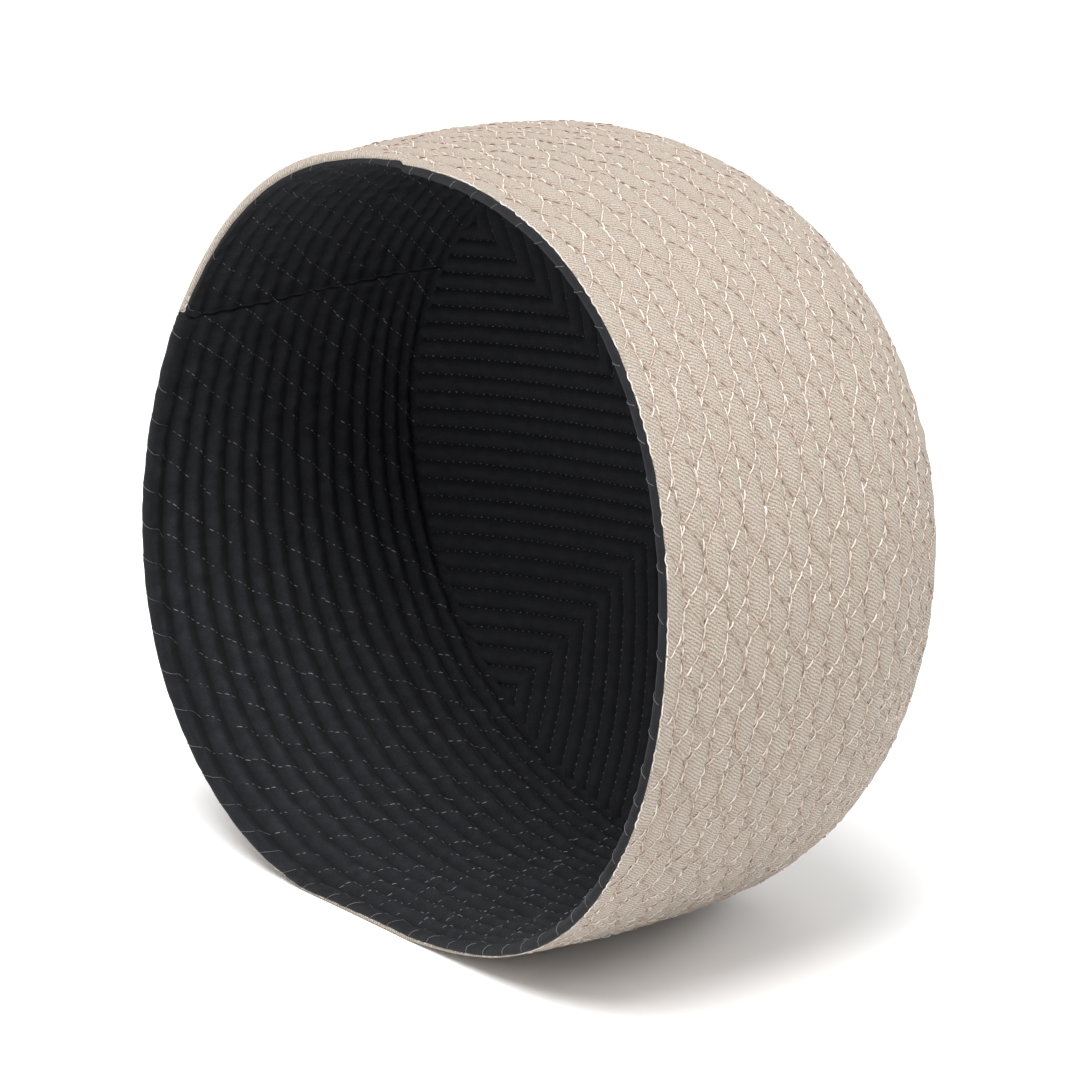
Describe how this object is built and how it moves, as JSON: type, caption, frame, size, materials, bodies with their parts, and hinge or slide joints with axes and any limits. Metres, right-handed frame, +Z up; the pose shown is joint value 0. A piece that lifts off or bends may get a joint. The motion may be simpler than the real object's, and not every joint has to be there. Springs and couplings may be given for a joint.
{
  "type": "quilted prayer cap",
  "caption": "Brimless round cap with a quilted upright band and a gently domed crown, lined inside and turned over at the rim, lying on its side with its mouth open to the front.",
  "frame": {"origin": "under the middle of the cap, on the surface that it lies on", "axes": "+Z up, +Y from the open mouth towards the crown along the cap's axis, +X towards the cap's side that faces the viewer"},
  "size_m": [0.1914, 0.0976, 0.17],
  "materials": {
    "outer_twill": "matt beige cotton twill, quilted with rows and a net of cream thread",
    "lining_cotton": "matt black cotton, puffed between rows of stitching"
  },
  "bodies": {
    "root": {"rim_ring_shell": "outer_twill", "crown_ring_shell": "outer_twill", "crown_shell": "outer_twill", "rim_ring_lining": "lining_cotton", "crown_ring_lining": "lining_cotton", "crown_lining": "lining_cotton"}
  },
  "joints": []
}
